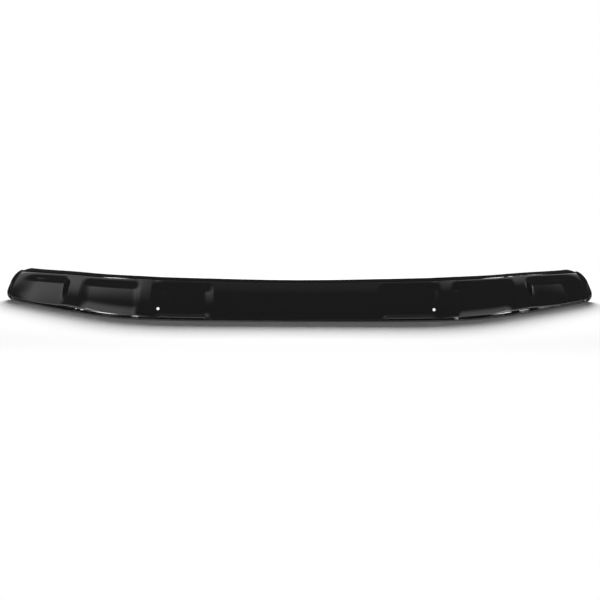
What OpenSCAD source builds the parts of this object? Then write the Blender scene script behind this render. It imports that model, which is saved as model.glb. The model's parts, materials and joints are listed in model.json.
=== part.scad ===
// Hood protector: one thermoformed sheet with scalloped recesses, bowed to follow the front edge
// of a hood. X runs along its length, the front faces -Y, and it stands on its lower lip at Z = 0.
// The origin is midway between its front and its back, in the middle of its length.

/* [Sheet] */
// Thickness of the moulded sheet
sheet_t = 3.2; // [2.5:0.1:4]

/* [Plan] */
// Distance from the middle to the crease at each end
half_l = 699; // [670:1:760]
// Angle to the X axis at which the ends are swept back
end_angle = 29; // [15:1:34]
// Distance from the middle to the knee, where the sweep starts
knee_x = 424; // [390:1:450]
// Length over which the knee is eased
knee_soft = 101; // [60:1:130]

/* [Section] */
// Height of the top edge in the middle
height_mid = 83.5; // [75:0.5:95]
// Height of the top edge at the belly, where it is tallest
height_belly = 87.5; // [75:0.5:100]
// Height of the top edge at the ends
height_end = 69; // [65:0.5:80]
// Distance from the middle to the belly
belly_x = 348; // [300:1:400]
// Lean of the face off the vertical at its foot
foot_lean = 13; // [8:1:20]
// Lean of the face off the vertical at its head
head_lean = 36; // [28:1:42]
// Lean of the top rim off the vertical
rim_lean = 68; // [58:1:80]
// Radius of the shoulder between face and rim
shoulder_r = 9; // [7:0.5:14]
// Width of the top rim
rim_w = 9; // [7:0.5:14]

/* [Flare] */
// Radius of the flare below the face in the middle
flare_mid = 5; // [4.5:0.5:9]
// Radius of the flare below the outer recesses
flare_side = 13; // [9:0.5:16]
// Radius of the flare at the lower corners
flare_end = 4.5; // [3.5:0.5:10]
// Width of the level lip outside the flare
lip_w = 2.5; // [1.5:0.5:6]
// Width of the flare where it is widest, on the end
end_flare = 9.5; // [6:0.5:16]
// Turn of the flare towards the front where it is widest, on the end
end_turn = 35; // [20:1:60]

/* [Corners] */
// How far the end crease leans in from foot to rim
end_rake = 30; // [20:1:46]
// Radius of the upper corners
corner_top = 14; // [10:1:22]
// Radius of the lower corners
corner_foot = 18; // [12:1:28]

/* [Recesses] */
// Half the width of the plain panel in the middle
panel_half = 184; // [150:1:200]
// Distance from the middle to the inner rib
rib_inner = 345; // [320:1:370]
// Distance from the middle to the outer rib
rib_outer = 530; // [500:1:540]
// Width of the crest of a rib
crest_w = 22; // [16:1:30]
// Depth of a recess below the ribs
recess_d = 8; // [4:0.5:10]
// Width of the side walls of a recess
side_wall = 26; // [22:1:34]
// Height of the top wall of a recess
top_wall = 17; // [14:1:20]
// Width of the wall that closes the outermost recess at the end
end_wall = 34; // [26:1:44]

/* [Fixings] */
// Diameter of the two screw holes
screw_d = 6.5; // [4:0.1:9]
// Distance from the middle to each screw hole
screw_x = 315; // [290:1:320]
// Distance of a screw hole up the face from its foot
screw_up = 18; // [12:1:35]

/* [Hidden] */

// Share of the face, from its foot, over which a recess reaches its full depth
recess_ease = 0.6;
// Shares of the end, from its foot, at which the flare starts to widen, is widest and has closed
widen_from = 0.2;
widen_to = 0.5;
close_to = 0.76;
// Width of the flare at its very tips, as a share of its full width
tip_share = 0.03;
// Power by which the height falls off from the belly to the end
fall_power = 1.7;
// Distance before the inner rib at which the flare starts to grow
flare_lead = 50;
// Small step for measuring slopes on the surface
tiny = 0.25;

// Columns of the grid from one station to the next
rib_half = crest_w/2;
gather_x = half_l - end_rake - 2*corner_foot;
STATIONS = [0, panel_half, panel_half + side_wall,
    rib_inner - rib_half - side_wall, rib_inner - rib_half,
    rib_inner + rib_half, rib_inner + rib_half + side_wall,
    rib_outer - rib_half - side_wall, rib_outer - rib_half,
    rib_outer + rib_half, rib_outer + rib_half + side_wall,
    gather_x, half_l];
COLUMN_STEPS = [3, 5, 3, 5, 3, 5, 4, 5, 3, 5, 3, 6];
// Steps of the grid up the face: round the lower corner, up the recess, up its top wall, over the
// shoulder and across the rim
CORNER_STEPS = 5;
FACE_STEPS = 3;
WALL_STEPS = 4;
SHOULDER_STEPS = 2;
RIM_STEPS = 4;
// Steps across the flare
FLARE_STEPS = 4;

function ease(t) = let (c = min(1, max(0, t))) c*c*(3 - 2*c);
function mix(a, b, t) = a + (b - a)*t;
function unit(v) = v/norm(v);

// Plan: straight in the middle, then a soft knee on each side, then swept back at end_angle
function knee(d) = sqrt(d*d + knee_soft*knee_soft);
function plan_y(x) = tan(end_angle)*((knee(x - knee_x) + knee(x + knee_x))/2 - knee(knee_x));
function plan_dir(x) = atan((plan_y(x + tiny) - plan_y(x - tiny))/(2*tiny));

// Sizes of the section that change along the length
function flare_r(a) = a < knee_x
    ? mix(flare_mid, flare_side,
        ease((a - rib_inner + flare_lead)/(knee_x - rib_inner + flare_lead)))
    : mix(flare_side, flare_end, ease((a - rib_outer)/(gather_x - rib_outer)));
function height(a) = a < belly_x
    ? mix(height_mid, height_belly, ease(a/belly_x))
    : mix(height_belly, height_end, pow(min(1, (a - belly_x)/(half_l - belly_x)), fall_power));

// An arc of the section that starts at one lean and ends at another, for each mm of its length
function arc_run(from, to) = 180/PI/(to - from)*[cos(from) - cos(to), sin(to) - sin(from)];
function arc_at(len, from, to, s) = let (lean = mix(from, to, s/len))
    s < tiny/1000 ? [0, 0] : s*arc_run(from, lean);

// The face starts above the flare; its length makes up the height of the top edge
shoulder_len = shoulder_r*(rim_lean - head_lean)*PI/180;
head_rise = shoulder_r*(sin(rim_lean) - sin(head_lean)) + rim_w*cos(rim_lean);
function foot_at(a) = [lip_w + flare_r(a)*cos(foot_lean),
    sheet_t + flare_r(a)*(1 - sin(foot_lean))];
function face_len(a) = (height(a) - foot_at(a)[1] - head_rise)/arc_run(foot_lean, head_lean)[1];
function top_s(a) = face_len(a) + shoulder_len + rim_w;

// [back, up, lean] of the plain section at distance s up from the foot of the face
function section(a, s) = let (
        face = face_len(a),
        s1 = min(s, face),
        s2 = min(max(0, s - face), shoulder_len),
        s3 = max(0, s - face - shoulder_len),
        at = foot_at(a)
            + arc_at(face, foot_lean, head_lean, s1)
            + arc_at(shoulder_len, head_lean, rim_lean, s2)
            + s3*[sin(rim_lean), cos(rim_lean)],
        lean = s < face ? mix(foot_lean, head_lean, s/face)
            : mix(head_lean, rim_lean, s2/shoulder_len))
    [at[0], at[1], lean];

// How far out the face reaches at a share of its height, with rounded corners
function corner(d, r) = d >= r ? 0 : r - sqrt(r*r - pow(r - max(0, d), 2));
function crease_x(share) = let (top = top_s(half_l))
    half_l - end_rake*share
        - corner((1 - share)*top, corner_top) - corner(share*top, corner_foot);

// Depth of the recesses below the plain surface
function off_rib(a, x) = ease((abs(a - x) - rib_half)/side_wall);
function recess(a, s) = let (
        face = face_len(a),
        side = ease((a - panel_half)/side_wall)*off_rib(a, rib_inner)*off_rib(a, rib_outer),
        end = ease((crease_x(s/top_s(a)) - a)/end_wall),
        rise = ease(s/face/recess_ease),
        head = ease((face - s)/top_wall))
    recess_d*side*end*rise*head;

// Front surface of the sheet
function skin(x, s) = let (
        w = section(abs(x), s),
        d = recess(abs(x), s),
        back = w[0] + d*cos(w[2]),
        dir = plan_dir(x))
    [x - back*sin(dir), plan_y(x) + back*cos(dir), w[1] - d*sin(w[2])];
function outward(x, s) = unit(cross(
    skin(x + tiny, s) - skin(x - tiny, s),
    skin(x, s + tiny) - skin(x, s - tiny)));

// Rows of the face as [part of the height, share of that part], from the foot up
low_end = face_len(half_l) - top_wall;
foot_share = corner_foot/low_end;
rim_arc = corner_top > rim_w ? acos(1 - rim_w/corner_top) : 90;
ROWS = concat(
    [for (i = [0:CORNER_STEPS]) [0, foot_share*(1 - cos(90*i/CORNER_STEPS))]],
    [for (i = [1:FACE_STEPS - 1]) [0, mix(foot_share, 1, i/FACE_STEPS)]],
    [for (i = [0:WALL_STEPS]) [1, i/WALL_STEPS]],
    [for (i = [1:SHOULDER_STEPS]) [2, i/SHOULDER_STEPS]],
    [for (i = [RIM_STEPS - 1:-1:0])
        [3, 1 - corner_top/rim_w*(1 - cos(rim_arc*i/RIM_STEPS))]]);
function row_s(a, row) = let (low = face_len(a) - top_wall)
    row[0] == 0 ? row[1]*low
    : row[0] == 1 ? low + row[1]*top_wall
    : row[0] == 2 ? face_len(a) + row[1]*shoulder_len
    : face_len(a) + shoulder_len + row[1]*rim_w;

// Columns of the face; beyond gather_x they close up on the crease
HALF = concat(
    [for (k = [0:len(COLUMN_STEPS) - 1]) for (i = [0:COLUMN_STEPS[k] - 1])
        mix(STATIONS[k], STATIONS[k + 1], i/COLUMN_STEPS[k])],
    [half_l]);
COLUMNS = concat([for (i = [len(HALF) - 1:-1:1]) -HALF[i]], HALF);
function face_point(c, row) = let (
        crease = crease_x(row_s(half_l, row)/top_s(half_l)),
        t = max(0, abs(c) - gather_x)/(half_l - gather_x),
        a = t > 0 ? mix(gather_x, crease, t) : abs(c),
        x = sign(c)*a,
        s = row_s(a, row))
    [skin(x, s), outward(x, s)];

// Flare round the foot and the ends as [arc length, turn, lip width] at a share of the end
function flare_at(a, share) = let (
        e = ease((share - widen_from)/(widen_to - widen_from)),
        c = min(1, max(0, share - widen_to)/(close_to - widen_to)),
        close = mix(tip_share, 1, sqrt(1 - c*c)),
        turn = mix(90 - foot_lean, end_turn, e),
        low = flare_r(a)*(90 - foot_lean)*PI/180)
    [close*mix(low, end_flare, e), turn, close*lip_w];

// Flare point: q steps out from the edge point p, whose outward side in the sheet is o
function flare_point(p, n, o, f, q) = let (
        turn = f[1]*min(1, q/FLARE_STEPS),
        r = f[0]/(f[1]*PI/180),
        over = q > FLARE_STEPS ? f[2] : 0)
    [p + r*(sin(turn)*o + (1 - cos(turn))*n) + over*(cos(turn)*o + sin(turn)*n),
        cos(turn)*n - sin(turn)*o];

// Points of the grid on the face, as [point, outward normal]
ROW_COUNT = len(ROWS);
COLUMN_COUNT = len(COLUMNS);
FACE = [for (c = COLUMNS) for (row = ROWS) face_point(c, row)];
function at(c, r) = c*ROW_COUNT + r;

// The edge of the face from the left upper corner, along the foot, to the right upper corner
PATH = concat(
    [for (r = [ROW_COUNT - 1:-1:1]) [0, r]],
    [for (c = [0:COLUMN_COUNT - 1]) [c, 0]],
    [for (r = [1:ROW_COUNT - 1]) [COLUMN_COUNT - 1, r]]);
last = len(PATH) - 1;
EDGE = [for (v = PATH) at(v[0], v[1])];
function edge_dir(i) = unit(
    FACE[EDGE[min(i + 1, last)]][0] - FACE[EDGE[max(i - 1, 0)]][0]);
function edge_flare(i) = flare_at(abs(COLUMNS[PATH[i][0]]),
    row_s(half_l, ROWS[PATH[i][1]])/top_s(half_l));

// Points of the strip outside that edge: the flare, and the lip as its last step
STRIP = FLARE_STEPS + 1;
FLARE = [for (i = [0:last]) for (q = [1:STRIP]) let (v = FACE[EDGE[i]])
    flare_point(v[0], v[1], unit(cross(edge_dir(i), v[1])), edge_flare(i), q)];
function out(i, q) = q == 0 ? EDGE[i] : COLUMN_COUNT*ROW_COUNT + i*STRIP + q - 1;

// Both skins of the sheet, and the shift that brings its depth astride the origin
FRONT = [for (v = concat(FACE, FLARE)) v[0]];
BACK = [for (v = concat(FACE, FLARE)) v[0] - sheet_t*v[1]];
depths = [for (v = concat(FRONT, BACK)) v[1]];
centre_y = (min(depths) + max(depths))/2;

module sheet() {
    count = len(FRONT);
    quads = concat(
        [for (c = [0:COLUMN_COUNT - 2]) for (r = [0:ROW_COUNT - 2])
            [at(c, r), at(c, r + 1), at(c + 1, r + 1), at(c + 1, r)]],
        [for (i = [0:last - 1]) for (q = [0:STRIP - 1])
            [out(i, q), out(i + 1, q), out(i + 1, q + 1), out(i, q + 1)]]);
    rim = concat(
        [for (i = [0:last]) out(i, STRIP)],
        [for (q = [STRIP - 1:-1:1]) out(last, q)],
        [for (c = [COLUMN_COUNT - 1:-1:0]) at(c, ROW_COUNT - 1)],
        [for (q = [1:STRIP - 1]) out(0, q)]);
    edges = [for (i = [0:len(rim) - 1]) let (a = rim[i], b = rim[(i + 1) % len(rim)])
        [a, b, b + count, a + count]];
    inner = [for (v = quads) [v[0] + count, v[3] + count, v[2] + count, v[1] + count]];
    polyhedron(concat(FRONT, BACK), [for (v = concat(quads, edges, inner))
        each [[v[0], v[1], v[2]], [v[0], v[2], v[3]]]]);
}

// Drill for a screw hole, square to the face at its place
module screw_drill(x) {
    n = outward(x, screw_up);
    translate(skin(x, screw_up))
        rotate([0, acos(n[2]), atan2(n[1], n[0])])
            cylinder(h = 6*sheet_t, d = screw_d, center = true, $fn = 48);
}

module hood_protector() {
    color([0.04, 0.04, 0.04])
        translate([0, -centre_y, 0])
            difference() {
                sheet();
                screw_drill(-screw_x);
                screw_drill(screw_x);
            }
}

hood_protector();
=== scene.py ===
"""Hood protector: the looks of one moulded sheet of gloss black acrylic on a white table.

The sheet's surface follows the formulas of its solid on a much finer grid, with recesses that
run out softly to the foot, polished edges and drilled holes. The grid is worked out in
millimetres and turned into metres at the end.
"""

import json

import bpy
import numpy as np
from mathutils import Matrix, Vector


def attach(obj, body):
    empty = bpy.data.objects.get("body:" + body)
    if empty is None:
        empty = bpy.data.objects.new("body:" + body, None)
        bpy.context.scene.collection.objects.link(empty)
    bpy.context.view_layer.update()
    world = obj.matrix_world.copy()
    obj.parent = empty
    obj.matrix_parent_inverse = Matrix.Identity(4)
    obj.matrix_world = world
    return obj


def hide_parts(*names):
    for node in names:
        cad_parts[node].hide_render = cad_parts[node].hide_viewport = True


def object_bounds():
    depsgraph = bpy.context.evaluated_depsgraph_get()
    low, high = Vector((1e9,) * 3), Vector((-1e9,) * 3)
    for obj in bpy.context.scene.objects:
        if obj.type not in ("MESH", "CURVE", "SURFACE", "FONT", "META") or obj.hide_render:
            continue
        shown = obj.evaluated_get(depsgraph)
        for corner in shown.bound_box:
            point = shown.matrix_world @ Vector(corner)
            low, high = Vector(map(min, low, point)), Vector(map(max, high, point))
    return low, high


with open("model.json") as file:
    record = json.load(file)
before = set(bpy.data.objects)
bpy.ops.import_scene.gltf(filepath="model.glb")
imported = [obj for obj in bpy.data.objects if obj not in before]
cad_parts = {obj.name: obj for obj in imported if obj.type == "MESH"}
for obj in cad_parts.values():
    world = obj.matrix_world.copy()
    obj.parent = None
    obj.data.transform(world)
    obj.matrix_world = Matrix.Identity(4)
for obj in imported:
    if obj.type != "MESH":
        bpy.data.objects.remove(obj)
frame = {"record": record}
cad_box = [list(corner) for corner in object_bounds()]

MM = 0.001
rad = np.radians

# Sheet: half its length along the top, and its bow seen from above
SHEET_T = 3.2
HALF_L = 699.0
END_ANGLE = rad(29)
KNEE_X = 424.0
KNEE_SOFT = 101.0

# Height along the length, and the power by which it falls towards the ends
HEIGHT_MID = 83.5
HEIGHT_BELLY = 87.5
HEIGHT_END = 69.0
BELLY_X = 348.0
FALL_POWER = 1.7

# Section: lean of the face at foot and head, rounded shoulder and flat rim
FOOT_LEAN = rad(13)
HEAD_LEAN = rad(36)
RIM_LEAN = rad(68)
SHOULDER_R = 9.0
RIM_W = 9.0

# Flare along the foot: its radius, how far before the inner rib it starts to grow, and its lip
FLARE_MID = 5.0
FLARE_SIDE = 13.0
FLARE_END = 4.5
FLARE_LEAD = 50.0
LIP_W = 2.5

# Ends: flare, its turn, and the shares of the height at which it widens and closes
END_FLARE = 9.4
END_TURN = rad(35)
WIDEN_FROM = 0.2
WIDEN_TO = 0.5
CLOSE_TO = 0.86
TIP_SHARE = 0.03
END_RAKE = 30.0
CORNER_TOP = 14.0
CORNER_FOOT = 18.0

# Recesses between the ribs: their depth, their walls, and the heights over which they run out
PANEL_HALF = 184.0
RIB_INNER = 345.0
RIB_OUTER = 530.0
CREST_W = 22.0
RECESS_D = 6.5
SIDE_WALL = 26.0
TOP_WALL = 22.0
END_WALL = 52.0
RISE_INNER = 16.0
RISE_MIDDLE = 23.0
RISE_OUTER = 58.0

# How far the origin is behind the front of the middle, and the step for slopes
CENTRE_Y = 87.382
TINY = 0.05

RIB_HALF = CREST_W / 2
GATHER_X = HALF_L - END_RAKE - 2 * CORNER_FOOT

# The grid: places along the length where a form begins or ends, and the steps between them
STATIONS = [
    0,
    PANEL_HALF,
    PANEL_HALF + SIDE_WALL,
    RIB_INNER - RIB_HALF - SIDE_WALL,
    RIB_INNER - RIB_HALF,
    RIB_INNER + RIB_HALF,
    RIB_INNER + RIB_HALF + SIDE_WALL,
    RIB_OUTER - RIB_HALF - SIDE_WALL,
    RIB_OUTER - RIB_HALF,
    RIB_OUTER + RIB_HALF,
    RIB_OUTER + RIB_HALF + SIDE_WALL,
    GATHER_X,
    HALF_L,
]
COLUMN_STEPS = [20, 8, 10, 8, 6, 8, 14, 8, 6, 8, 10, 18]
CORNER_STEPS = 9
FACE_STEPS = 14
WALL_STEPS = 10
SHOULDER_STEPS = 8
RIM_STEPS = 8
FLARE_STEPS = 12

# Cut edge: radius of its rounding, and the most of the last row's width that it may take
EDGE_R = 0.6
EDGE_SHARE = 0.6
EDGE_STEPS = 3

# Holes: height up the face, rounded mouth, half width of the patch of grid that is laid anew,
# its rings, and the rounds in which a point is found
SCREW_UP = 18.0
MOUTH = 0.4
PATCH_HALF = 12.0
PATCH_RINGS = 5
SOLVE_STEPS = 12


def ease(t):
    c = np.clip(t, 0, 1)
    return c * c * (3 - 2 * c)


def mix(a, b, t):
    return a + (b - a) * t


def unit(v):
    return v / np.linalg.norm(v, axis=-1, keepdims=True)


# The plain section
def knee(d):
    return np.sqrt(d * d + KNEE_SOFT * KNEE_SOFT)


def plan_y(x):
    return np.tan(END_ANGLE) * ((knee(x - KNEE_X) + knee(x + KNEE_X)) / 2 - knee(KNEE_X))


def plan_dir(x):
    slope = ((x - KNEE_X) / knee(x - KNEE_X) + (x + KNEE_X) / knee(x + KNEE_X)) / 2
    return np.arctan(np.tan(END_ANGLE) * slope)


def flare_r(a):
    grow = ease((a - RIB_INNER + FLARE_LEAD) / (KNEE_X - RIB_INNER + FLARE_LEAD))
    fall = ease((a - RIB_OUTER) / (GATHER_X - RIB_OUTER))
    return np.where(a < KNEE_X, mix(FLARE_MID, FLARE_SIDE, grow), mix(FLARE_SIDE, FLARE_END, fall))


def height(a):
    fall = np.clip((a - BELLY_X) / (HALF_L - BELLY_X), 0, 1) ** FALL_POWER
    rise = mix(HEIGHT_MID, HEIGHT_BELLY, ease(a / BELLY_X))
    return np.where(a < BELLY_X, rise, mix(HEIGHT_BELLY, HEIGHT_END, fall))


def arc(length, start, end, s):
    """Back and up along an arc that leans from start to end over its length."""
    bend = (end - start) / length
    lean = start + bend * s
    return (np.cos(start) - np.cos(lean)) / bend, (np.sin(lean) - np.sin(start)) / bend


def side_share(a):
    """How much of its depth a recess has here, between the walls at the ribs."""
    def off_rib(x):
        return ease((np.abs(a - x) - RIB_HALF) / SIDE_WALL)
    return ease((a - PANEL_HALF) / SIDE_WALL) * off_rib(RIB_INNER) * off_rib(RIB_OUTER)


def rise_len(a):
    """Height over which the recess runs out to the foot."""
    outer = np.where(a > RIB_OUTER, RISE_OUTER, RISE_MIDDLE)
    return np.where(a > RIB_INNER, outer, RISE_INNER)


def foot_dir(a):
    """Lean of the surface at its foot, with the slope of the recess."""
    end = ease((HALF_L - CORNER_FOOT - a) / END_WALL)
    return FOOT_LEAN + np.arctan(2 * RECESS_D * side_share(a) * end / rise_len(a))


SHOULDER_LEN = SHOULDER_R * (RIM_LEAN - HEAD_LEAN)
HEAD_RISE = SHOULDER_R * (np.sin(RIM_LEAN) - np.sin(HEAD_LEAN)) + RIM_W * np.cos(RIM_LEAN)


def foot_at(a):
    r = flare_r(a)
    lean = foot_dir(a)
    return LIP_W + r * np.cos(lean), SHEET_T + r * (1 - np.sin(lean))


def face_len(a):
    rise = (np.sin(HEAD_LEAN) - np.sin(FOOT_LEAN)) / (HEAD_LEAN - FOOT_LEAN)
    return (height(a) - foot_at(a)[1] - HEAD_RISE) / rise


def top_s(a):
    return face_len(a) + SHOULDER_LEN + RIM_W


def section(a, s):
    face = face_len(a)
    s1 = np.minimum(s, face)
    s2 = np.clip(s - face, 0, SHOULDER_LEN)
    s3 = np.maximum(0, s - face - SHOULDER_LEN)
    back, up = foot_at(a)
    b1, u1 = arc(face, FOOT_LEAN, HEAD_LEAN, s1)
    b2, u2 = arc(SHOULDER_LEN, HEAD_LEAN, RIM_LEAN, s2)
    lean = np.where(
        s < face,
        mix(FOOT_LEAN, HEAD_LEAN, s / face),
        mix(HEAD_LEAN, RIM_LEAN, s2 / SHOULDER_LEN),
    )
    back = back + b1 + b2 + s3 * np.sin(RIM_LEAN)
    up = up + u1 + u2 + s3 * np.cos(RIM_LEAN)
    return back, up, lean


# Ends and recesses
def corner(d, r):
    return np.where(d >= r, 0, r - np.sqrt(r * r - (r - np.clip(d, 0, r)) ** 2))


def crease_x(share):
    top = top_s(HALF_L)
    cut = corner((1 - share) * top, CORNER_TOP) + corner(share * top, CORNER_FOOT)
    return HALF_L - END_RAKE * share - cut


def recess(a, s):
    face = face_len(a)
    end = ease((crease_x(s / top_s(a)) - a) / END_WALL)
    rise = 1 - (1 - np.minimum(1, s / rise_len(a))) ** 2
    head = ease((face - s) / TOP_WALL)
    return RECESS_D * side_share(a) * end * rise * head


def skin(x, s):
    """A point of the front surface, x along the length and s up from the foot."""
    a = np.abs(x)
    back, up, lean = section(a, s)
    d = recess(a, s)
    back = back + d * np.cos(lean)
    turn = plan_dir(x)
    return np.stack(
        [x - back * np.sin(turn), plan_y(x) + back * np.cos(turn), up - d * np.sin(lean)], -1
    )


def outward(x, s):
    along = skin(x + TINY, s) - skin(x - TINY, s)
    rise = skin(x, s + TINY) - skin(x, s - TINY)
    return unit(np.cross(along, rise))


# The grid of the face
def face_rows():
    low = float(face_len(HALF_L)) - TOP_WALL
    foot_share = CORNER_FOOT / low
    turns = [rad(90) * i / CORNER_STEPS for i in range(CORNER_STEPS + 1)]
    rows = [(0, foot_share * (1 - np.cos(turn))) for turn in turns]
    rows += [(0, mix(foot_share, 1, i / FACE_STEPS)) for i in range(1, FACE_STEPS)]
    rows += [(1, i / WALL_STEPS) for i in range(WALL_STEPS + 1)]
    rows += [(2, i / SHOULDER_STEPS) for i in range(1, SHOULDER_STEPS + 1)]
    rows += [(3, i / RIM_STEPS) for i in range(1, RIM_STEPS + 1)]
    return rows


ROWS = face_rows()
RIM_ARC = np.arccos(1 - RIM_W / CORNER_TOP)


def row_s(a, row, gather):
    """Distance up the section; on the rim the rows draw together towards the corner."""
    part, share = row
    face = face_len(a)
    low = face - TOP_WALL
    if part == 0:
        return share * low
    if part == 1:
        return low + share * TOP_WALL
    if part == 2:
        return face + share * SHOULDER_LEN
    close = 1 - CORNER_TOP / RIM_W * (1 - np.cos(RIM_ARC * (1 - share)))
    return face + SHOULDER_LEN + RIM_W * mix(share, close, gather)


def columns():
    half = []
    for k, steps in enumerate(COLUMN_STEPS):
        half += [mix(STATIONS[k], STATIONS[k + 1], i / steps) for i in range(steps)]
    half.append(HALF_L)
    return np.array([-v for v in half[:0:-1]] + half)


COLUMNS = columns()
GATHER = np.maximum(0, np.abs(COLUMNS) - GATHER_X) / (HALF_L - GATHER_X)


def face_grid():
    """Place along and up, points and normals of the face, as arrays of columns by rows."""
    places, points, normals = [], [], []
    for row in ROWS:
        end_share = row_s(np.array(HALF_L), row, 1.0) / top_s(HALF_L)
        a = np.where(
            GATHER > 0, mix(GATHER_X, crease_x(end_share), GATHER), np.abs(COLUMNS)
        )
        x = np.sign(COLUMNS) * a
        s = row_s(a, row, ease(GATHER))
        places.append(np.stack([x, s], -1))
        points.append(skin(x, s))
        normals.append(outward(x, s))
    return np.stack(places, 1), np.stack(points, 1), np.stack(normals, 1)


def flare_at(landing, share, n):
    """Arc length, turn and lip width of the flare at a share of the end's height."""
    e = ease((share - WIDEN_FROM) / (WIDEN_TO - WIDEN_FROM))
    c = np.clip((share - WIDEN_TO) / (CLOSE_TO - WIDEN_TO), 0, 1)
    close = mix(TIP_SHARE, 1, np.sqrt(1 - c * c))
    level = np.arccos(n[:, 2])
    return close * mix(landing * level, END_FLARE, e), mix(level, END_TURN, e), close * LIP_W


face_at, face_p, face_n = face_grid()
COLS, ROW_COUNT = face_p.shape[:2]
path = (
    [(0, r) for r in range(ROW_COUNT - 1, 0, -1)]
    + [(c, 0) for c in range(COLS)]
    + [(COLS - 1, r) for r in range(1, ROW_COUNT)]
)
pc = np.array([p[0] for p in path])
pr = np.array([p[1] for p in path])
edge_p, edge_n = face_p[pc, pr], face_n[pc, pr]
ahead = np.vstack([edge_p[1:], edge_p[-1:]])
behind = np.vstack([edge_p[:1], edge_p[:-1]])
edge_o = unit(np.cross(unit(ahead - behind), edge_n))
end_share = np.array([float(row_s(np.array(HALF_L), ROWS[r], 1.0) / top_s(HALF_L)) for r in pr])
# The radius at which the flare has turned level just as it reaches the height of the lip
landing = (face_p[pc, 0, 2] - SHEET_T) / (1 - face_n[pc, 0, 2])
arc_len, arc_turn, lip = flare_at(landing, end_share, edge_n)
arc_r = arc_len / arc_turn

strip_p, strip_n = [], []
for q in range(1, FLARE_STEPS + 2):
    turn = (arc_turn * min(1, q / FLARE_STEPS))[:, None]
    over = lip[:, None] if q > FLARE_STEPS else 0.0
    r = arc_r[:, None]
    strip_p.append(
        edge_p
        + r * (np.sin(turn) * edge_o + (1 - np.cos(turn)) * edge_n)
        + over * (np.cos(turn) * edge_o + np.sin(turn) * edge_n)
    )
    strip_n.append(np.cos(turn) * edge_n - np.sin(turn) * edge_o)
strip_p, strip_n = np.stack(strip_p, 1), np.stack(strip_n, 1)
STRIP = FLARE_STEPS + 1

# One list of points
front = np.vstack([face_p.reshape(-1, 3), strip_p.reshape(-1, 3)])
normal = np.vstack([face_n.reshape(-1, 3), strip_n.reshape(-1, 3)])
LAST = len(path) - 1


def at(c, r):
    return c * ROW_COUNT + r


def out(i, q):
    return at(*path[i]) if q == 0 else COLS * ROW_COUNT + i * STRIP + q - 1


# Screw holes
def offset_skin(place, depth):
    """Points at a depth below the front surface, for an array of places."""
    x, s = place[..., 0], place[..., 1]
    return skin(x, s) - depth * outward(x, s)


def solve(depth, centre, sides, target, guess):
    """The places at which the surface at a depth lies on targets across a drill's axis."""
    place = np.array(guess, dtype=float)
    for _ in range(SOLVE_STEPS):
        here = (offset_skin(place, depth) - centre) @ sides.T
        steps = []
        for k in range(2):
            moved = place.copy()
            moved[..., k] += TINY
            steps.append(((offset_skin(moved, depth) - centre) @ sides.T - here) / TINY)
        slope = np.stack(steps, -1)
        place = place - np.linalg.solve(slope, (here - target)[..., None])[..., 0]
    return place


def block_loop(c0, c1, r0, r1):
    """Grid places round a block, anticlockwise as seen from the front."""
    return (
        [(c, r0) for c in range(c0, c1)]
        + [(c1, r) for r in range(r0, r1)]
        + [(c, r1) for c in range(c1, c0, -1)]
        + [(c0, r) for r in range(r1, r0, -1)]
    )


def hole(mount):
    """Rings of points and normals from the front of the sheet through a hole to its back."""
    centre = np.array(mount["pos_m"]) / MM + np.array([0, CENTRE_Y, 0])
    axis = unit(np.array(mount["axis"]))
    across = unit(np.cross(axis, [0, 0, 1]))
    sides = np.stack([across, np.cross(axis, across)])
    start = np.array([centre[0], SCREW_UP])
    x0, s0 = solve(0, centre, sides, np.zeros(2), start)
    c0 = int(np.searchsorted(COLUMNS, x0 - PATCH_HALF)) - 1
    c1 = int(np.searchsorted(COLUMNS, x0 + PATCH_HALF))
    heights = face_at[c0, :, 1]
    r0 = max(1, int(np.searchsorted(heights, s0 - PATCH_HALF)) - 1)
    r1 = int(np.searchsorted(heights, s0 + PATCH_HALF))
    loop = block_loop(c0, c1, r0, r1)
    rim_place = np.array([face_at[c, r] for c, r in loop])
    flat = (offset_skin(rim_place, 0) - centre) @ sides.T
    ways = flat / np.linalg.norm(flat, axis=1, keepdims=True)
    radius = mount["dims"]["r_mm"]
    guess = np.tile([x0, s0], (len(loop), 1))
    inward = -(ways @ sides)
    ring_p, ring_n = [], []
    for depth, sign in ((0, 1), (SHEET_T, -1)):
        mouth = solve(depth, centre, sides, ways * (radius + MOUTH), guess)
        shares = np.arange(1, PATCH_RINGS + 1) / PATCH_RINGS
        for share in shares if sign > 0 else shares[::-1]:
            place = mix(rim_place, mouth, share)
            ring_p.append(offset_skin(place, depth))
            ring_n.append(sign * outward(place[:, 0], place[:, 1]))
        if sign > 0:
            for deep in (MOUTH, SHEET_T - MOUTH):
                ring_p.append(offset_skin(solve(deep, centre, sides, ways * radius, guess), deep))
                ring_n.append(inward)
    return (c0, c1, r0, r1), loop, ring_p, ring_n


holes = [hole(mount) for mount in frame["record"]["mounts"] if mount["kind"] == "bore"]


def in_block(c, r):
    return any(c0 <= c < c1 and r0 <= r < r1 for (c0, c1, r0, r1), _, _, _ in holes)


quads = [
    (at(c, r), at(c + 1, r), at(c + 1, r + 1), at(c, r + 1))
    for c in range(COLS - 1)
    for r in range(ROW_COUNT - 1)
    if not in_block(c, r)
]
quads += [
    (out(i, q), out(i, q + 1), out(i + 1, q + 1), out(i + 1, q))
    for i in range(LAST)
    for q in range(STRIP)
]
rim = (
    [(out(i, STRIP), out(i, STRIP - 1)) for i in range(LAST + 1)]
    + [(out(LAST, q), out(LAST - 1, q)) for q in range(STRIP - 1, 0, -1)]
    + [(at(c, ROW_COUNT - 1), at(c, ROW_COUNT - 2)) for c in range(COLS - 1, -1, -1)]
    + [(out(0, q), out(1, q)) for q in range(1, STRIP)]
)
loop = np.array([v[0] for v in rim])
inside = np.array([v[1] for v in rim])

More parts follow.
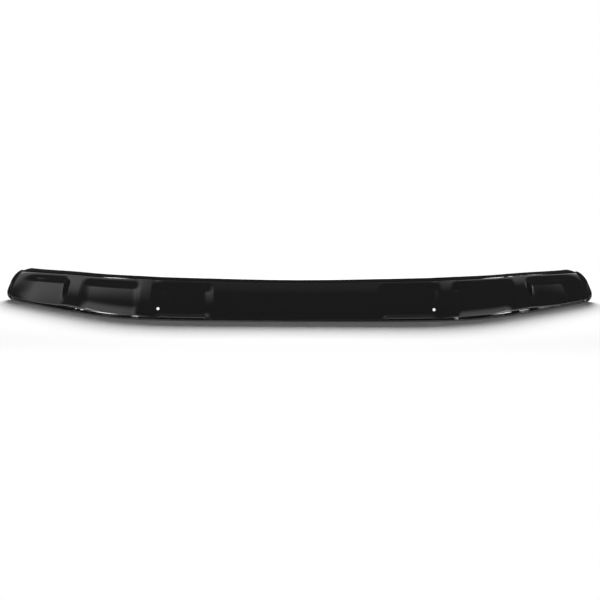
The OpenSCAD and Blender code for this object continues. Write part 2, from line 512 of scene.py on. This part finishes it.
# The edge is polished round: the last row of points draws in, and a rounded band joins the skins
side = front[loop] - front[inside]
width = np.linalg.norm(side, axis=1)
side = unit(side - normal[loop] * np.sum(side * normal[loop], axis=1)[:, None])
edge_r = np.minimum(EDGE_R, EDGE_SHARE * width)[:, None]
loop_n = normal[loop]
lip_point = front[loop]
band_p, band_n = [], []
for k in range(1, EDGE_STEPS + 1):
    t = rad(90) * k / EDGE_STEPS
    band_p.append(lip_point - edge_r * ((1 - np.sin(t)) * side + (1 - np.cos(t)) * loop_n))
    band_n.append(np.cos(t) * loop_n + np.sin(t) * side)
for k in range(EDGE_STEPS, 0, -1):
    t = rad(90) * k / EDGE_STEPS
    deep = SHEET_T - edge_r * (1 - np.cos(t))
    band_p.append(lip_point - edge_r * (1 - np.sin(t)) * side - deep * loop_n)
    band_n.append(np.sin(t) * side - np.cos(t) * loop_n)
front[loop] = lip_point - edge_r * side
back = front - SHEET_T * normal

# Faces: both skins, the band round the edge, and the rings through each hole
COUNT, RING = len(front), len(loop)
point_parts, normal_parts = [front, back] + band_p, [normal, -normal] + band_n
faces = list(quads) + [tuple(v + COUNT for v in q[::-1]) for q in quads]


def join_rings(rings):
    for near, far in zip(rings[:-1], rings[1:]):
        for i in range(len(near)):
            j = (i + 1) % len(near)
            faces.append((int(near[i]), int(near[j]), int(far[j]), int(far[i])))


band = [2 * COUNT + k * RING + np.arange(RING) for k in range(2 * EDGE_STEPS)]
join_rings([loop + COUNT] + band[::-1] + [loop])
cut_from = 2 * COUNT
made = 2 * COUNT + 2 * EDGE_STEPS * RING
cut_ranges = [(cut_from, made)]
for _, block, ring_p, ring_n in holes:
    rings = [np.array([at(c, r) for c, r in block])]
    for _ in ring_p:
        rings.append(made + np.arange(len(block)))
        made += len(block)
    cut_ranges.append((int(rings[PATCH_RINGS + 1][0]), int(rings[PATCH_RINGS + 2][-1]) + 1))
    rings.append(rings[0] + COUNT)
    join_rings(rings)
    point_parts += ring_p
    normal_parts += ring_n

points = (np.vstack(point_parts) - np.array([0, CENTRE_Y, 0])) * MM
normals = unit(np.vstack(normal_parts))

# Two values that the material reads: how far out on the flare, and whether on a cut edge
strip_share = np.arange(1, STRIP + 1) / STRIP
skin_flare = np.concatenate([np.zeros(COLS * ROW_COUNT), np.tile(strip_share, LAST + 1)])
flare = np.zeros(len(points))
flare[:COUNT], flare[COUNT : 2 * COUNT] = skin_flare, skin_flare
cut_edge = np.zeros(len(points))
for first, end in cut_ranges:
    cut_edge[first:end] = 1

# Points that no face uses, behind the holes, are left out
used, faces = np.unique(np.array(faces), return_inverse=True)
faces = faces.reshape(-1, 4)
points, normals, cut_edge, flare = points[used], normals[used], cut_edge[used], flare[used]

mesh = bpy.data.meshes.new("sheet")
mesh.from_pydata(points.tolist(), [], faces.tolist())
mesh.validate()
mesh.update()
for name, values in (("cut_edge", cut_edge), ("flare", flare)):
    mesh.attributes.new(name, "FLOAT", "POINT").data.foreach_set("value", values)
sheet = bpy.data.objects.new("sheet", mesh)
bpy.context.scene.collection.objects.link(sheet)
mesh.polygons.foreach_set("use_smooth", [True] * len(mesh.polygons))
mesh.normals_split_custom_set_from_vertices(normals.tolist())


# Short calls for node trees
def node(tree, kind, inputs=None, **settings):
    made_node = tree.nodes.new(kind)
    for key, value in settings.items():
        setattr(made_node, key, value)
    for key, value in (inputs or {}).items():
        if isinstance(value, bpy.types.NodeSocket):
            tree.links.new(value, made_node.inputs[key])
        else:
            made_node.inputs[key].default_value = value
    return made_node


def math(tree, operation, a, b=0.0):
    return node(tree, "ShaderNodeMath", {0: a, 1: b}, operation=operation).outputs[0]


def between(tree, value, low, high, to_low=0.0, to_high=1.0):
    """A soft step as value goes from low to high."""
    inputs = {
        "Value": value, "From Min": low, "From Max": high, "To Min": to_low, "To Max": to_high,
    }
    return node(tree, "ShaderNodeMapRange", inputs, interpolation_type="SMOOTHSTEP").outputs[0]


def noise(tree, place, scale, detail, stretch=(1, 1, 1), turn=(0, 0, 0)):
    inputs = {"Vector": place, "Scale": stretch, "Rotation": turn}
    moved = node(tree, "ShaderNodeMapping", inputs).outputs[0]
    inputs = {"Vector": moved, "Scale": scale, "Detail": detail}
    return node(tree, "ShaderNodeTexNoise", inputs).outputs[0]


def bump(tree, height, distance, below=None):
    inputs = {"Height": height, "Distance": distance, "Strength": 1.0}
    if below:
        inputs["Normal"] = below
    return node(tree, "ShaderNodeBump", inputs).outputs[0]


# Material: colours, roughness, and scales per metre with heights in metres
DARK = (0.0095, 0.0095, 0.0095, 1)
LESS_DARK = (0.0125, 0.0125, 0.0125, 1)
CUT = (0.32, 0.32, 0.32, 1)
TINT_SCALE = 7.0
ROUGH_LOW, ROUGH_HIGH = 0.03, 0.065
ROUGH_WIPE, ROUGH_FLARE, ROUGH_CUT = 0.03, 0.16, 0.2
HAZE_SCALE, HAZE_LOW, HAZE_HIGH = 26.0, 0.3, 0.7
WAVE_SCALE, WAVE_H = 14.0, 0.00006
PEEL_SCALE, PEEL_H = 420.0, 0.0000022
WIPE_SCALE, WIPE_H = 3.0, 0.0000008
WIPE_LOW, WIPE_HIGH = 0.62, 0.74
WIPE_STRETCH, WIPE_TURN = (1.5, 160, 160), (0.1, 0.05, 0.12)
ACRYLIC_IOR = 1.49


def acrylic():
    """Gloss sheet: faint waves from moulding, fine peel, wipe marks, and buffed cut edges."""
    material = bpy.data.materials.new("acrylic")
    material.use_nodes = True
    tree = material.node_tree
    shader = tree.nodes["Principled BSDF"]
    place = node(tree, "ShaderNodeTexCoord").outputs["Object"]
    cut = node(tree, "ShaderNodeAttribute", attribute_name="cut_edge").outputs["Fac"]

    tint = noise(tree, place, TINT_SCALE, 3.0)
    tint = node(tree, "ShaderNodeMix", {0: tint, 6: DARK, 7: LESS_DARK}, data_type="RGBA").outputs[2]
    tint = node(tree, "ShaderNodeMix", {0: cut, 6: tint, 7: CUT}, data_type="RGBA").outputs[2]
    tree.links.new(tint, shader.inputs["Base Color"])

    wipe = noise(tree, place, WIPE_SCALE, 6.0, WIPE_STRETCH, WIPE_TURN)
    lines = between(tree, wipe, WIPE_LOW, WIPE_HIGH)
    haze = noise(tree, place, HAZE_SCALE, 4.0)
    haze = between(tree, haze, HAZE_LOW, HAZE_HIGH, ROUGH_LOW, ROUGH_HIGH)
    rough = math(tree, "ADD", haze, math(tree, "MULTIPLY", lines, ROUGH_WIPE))
    rough = math(tree, "ADD", rough, math(tree, "MULTIPLY", cut, ROUGH_CUT))
    flare = node(tree, "ShaderNodeAttribute", attribute_name="flare").outputs["Fac"]
    rough = math(tree, "ADD", rough, math(tree, "MULTIPLY", flare, ROUGH_FLARE))
    tree.links.new(rough, shader.inputs["Roughness"])

    waves = bump(tree, noise(tree, place, WAVE_SCALE, 1.0), WAVE_H)
    peel = bump(tree, noise(tree, place, PEEL_SCALE, 2.0), PEEL_H, waves)
    marks = bump(tree, lines, WIPE_H, peel)
    tree.links.new(marks, shader.inputs["Normal"])
    shader.inputs["IOR"].default_value = ACRYLIC_IOR
    return material


mesh.materials.append(acrylic())
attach(sheet, "root")
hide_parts("hood_protector")

# Table: white, ends a little way in front of the lip, and keeps the shadow near the part
TABLE_BACK, TABLE_FRONT, TABLE_SIDE = 6.0, -0.31, 6.0
TABLE_COLOR = (0.95, 0.95, 0.95, 1)
CLEAR_NEAR, CLEAR_FAR = 0.09, 0.21


def table():
    mesh = bpy.data.meshes.new("table")
    corners = [
        (-TABLE_SIDE, TABLE_FRONT, 0), (TABLE_SIDE, TABLE_FRONT, 0),
        (TABLE_SIDE, TABLE_BACK, 0), (-TABLE_SIDE, TABLE_BACK, 0),
    ]
    mesh.from_pydata(corners, [], [(0, 1, 2, 3)])
    top = bpy.data.objects.new("table", mesh)
    bpy.context.scene.collection.objects.link(top)
    material = bpy.data.materials.new("table")
    material.use_nodes = True
    tree = material.node_tree
    tree.nodes.clear()
    place = node(tree, "ShaderNodeTexCoord").outputs["Object"]
    half = tuple(cad_box[1][k] if k < 2 else 0.0 for k in range(3))
    away = node(tree, "ShaderNodeVectorMath", {0: place}, operation="ABSOLUTE").outputs[0]
    away = node(tree, "ShaderNodeVectorMath", {0: away, 1: half}, operation="SUBTRACT").outputs[0]
    away = node(tree, "ShaderNodeVectorMath", {0: away, 1: (0, 0, 0)}, operation="MAXIMUM").outputs[0]
    away = node(tree, "ShaderNodeVectorMath", {0: away}, operation="LENGTH").outputs["Value"]
    seen = node(tree, "ShaderNodeLightPath").outputs["Is Camera Ray"]
    share = math(tree, "MULTIPLY", between(tree, away, CLEAR_NEAR, CLEAR_FAR), seen)
    matt = node(tree, "ShaderNodeBsdfDiffuse", {"Color": TABLE_COLOR}).outputs[0]
    white = node(tree, "ShaderNodeEmission", {"Color": (1, 1, 1, 1), "Strength": 1.0}).outputs[0]
    mixed = node(tree, "ShaderNodeMixShader", {0: share, 1: matt, 2: white}).outputs[0]
    node(tree, "ShaderNodeOutputMaterial", {"Surface": mixed})
    mesh.materials.append(material)
    return top


table()

# Studio, by direction in degrees: height is 0 at the front horizon, 90 overhead and 180 at the
# back horizon, and side is 0 ahead and positive to the right. Each soft light has a level, the
# soft steps of its left, right, lower and upper edges, and how its height falls with side,
# counted from the side at which it doesn't.
FALL_SIDE = 50.0
STUDIO_DARK = 0.10
AMBIENT = 0.12
SOFT_LIGHTS = {
    "fill": (0.11, (-91, -90), (91, 90), (-182, -181), (78, 66), 0),
    "left box": (1.35, (-72, -64), (-12, -34), (22, 60), (77, 74), 0),
    "right box": (1.3, (8, 26), (68, 60), (50, 74), (92, 86), 0.35),
    "middle": (0.16, (-30, -10), (30, 10), (38, 50), (78, 68), 0),
    "left strip": (5.0, (-64, -54), (-12, -24), (74, 75), (80, 79), 0),
    "middle strip": (1.6, (-24, -12), (30, 18), (74, 75), (80, 79), 0),
    "right strip": (5.0, (18, 30), (72, 64), (74, 75), (80, 79), 0),
    "back wall": (1.1, (-91, -90), (91, 90), (134, 148), (200, 190), 0),
    "left lamp": (30.0, (-35, -33), (-25, -27), (84, 86), (96, 94), 0),
    "right lamp": (26.0, (24, 26), (32, 30), (95, 98), (112, 108), 0),
}


def studio():
    world = bpy.data.worlds.new("studio")
    world.use_nodes = True
    tree = world.node_tree
    tree.nodes.clear()
    way = node(tree, "ShaderNodeTexCoord").outputs["Generated"]
    way = node(tree, "ShaderNodeSeparateXYZ", {0: way}).outputs
    ahead = math(tree, "MULTIPLY", way["Y"], -1.0)
    height = math(tree, "DEGREES", math(tree, "ARCTAN2", way["Z"], ahead))
    side = math(tree, "DEGREES", math(tree, "ARCSINE", way["X"]))
    total = STUDIO_DARK
    for level, left, right, low, high, fall in SOFT_LIGHTS.values():
        sunk = math(tree, "MULTIPLY", math(tree, "SUBTRACT", side, FALL_SIDE), fall)
        raised = math(tree, "SUBTRACT", height, sunk)
        light = math(tree, "MULTIPLY", between(tree, side, *left), between(tree, side, *right))
        light = math(tree, "MULTIPLY", light, between(tree, raised, *low))
        light = math(tree, "MULTIPLY", light, between(tree, raised, *high))
        total = math(tree, "ADD", total, math(tree, "MULTIPLY", light, level))
    rays = node(tree, "ShaderNodeLightPath").outputs
    shown = math(tree, "MAXIMUM", rays["Is Camera Ray"], rays["Is Transmission Ray"])
    level = node(tree, "ShaderNodeMix", {0: rays["Is Glossy Ray"], 2: AMBIENT, 3: total}).outputs[0]
    level = node(tree, "ShaderNodeMix", {0: shown, 2: level, 3: 1.0}).outputs[0]
    glow = node(tree, "ShaderNodeBackground", {"Color": (1, 1, 1, 1), "Strength": level}).outputs[0]
    node(tree, "ShaderNodeOutputWorld", {"Surface": glow})
    return world


scene = bpy.context.scene
scene.world = studio()

# One large soft lamp high behind the part throws the shadow to the front
LAMP_HEIGHT, LAMP_AWAY, LAMP_SIZE, LAMP_W = rad(40), 2.6, (2.6, 1.0), 136.0
lamp = bpy.data.lights.new("soft lamp", "AREA")
lamp.shape = "RECTANGLE"
lamp.size, lamp.size_y = LAMP_SIZE
lamp.energy = LAMP_W
lamp_object = bpy.data.objects.new("soft lamp", lamp)
scene.collection.objects.link(lamp_object)
lamp_object.location = (0, LAMP_AWAY * np.cos(LAMP_HEIGHT), LAMP_AWAY * np.sin(LAMP_HEIGHT))
lamp_object.rotation_euler = (LAMP_HEIGHT - rad(90), 0, 0)
lamp_object.visible_camera = False
lamp_object.visible_glossy = False

# Camera, at the photograph's viewing angle: the pixel at which the front of the middle is seen,
# the size of a pixel there, and the picture's width in pixels
TILT, SPIN, ROLL = rad(20), rad(2.05), rad(-0.4515)
DISTANCE = 2.6
AIM_X, AIM_Y = 295.26, 322.07
PIXEL = 2.2605 * MM
SIZE = 600
SENSOR = 36
focal = DISTANCE / PIXEL
camera = bpy.data.objects.new("camera", bpy.data.cameras.new("camera"))
scene.collection.objects.link(camera)
camera.data.sensor_width = SENSOR
camera.data.lens = focal / SIZE * SENSOR
back_dir = Vector((np.sin(SPIN) * np.cos(TILT), -np.cos(SPIN) * np.cos(TILT), np.sin(TILT)))
right = Vector((np.cos(SPIN), np.sin(SPIN), 0))
up = back_dir.cross(right)
dx, dy = (SIZE / 2 - AIM_X) / focal, (SIZE / 2 - AIM_Y) / focal
cr, sr = np.cos(ROLL), np.sin(ROLL)
du, dv = cr * dx + sr * dy, -sr * dx + cr * dy
look = (-back_dir + right * du - up * dv).normalized()
side_dir = right * cr + up * sr
side_dir = (side_dir - look * side_dir.dot(look)).normalized()
top_dir = side_dir.cross(look)
pose = Matrix((side_dir, top_dir, -look)).transposed().to_4x4()
pose.translation = back_dir * DISTANCE + Vector((0, -CENTRE_Y * MM, 0))
camera.matrix_world = pose
scene.camera = camera

scene.view_settings.view_transform = "Standard"
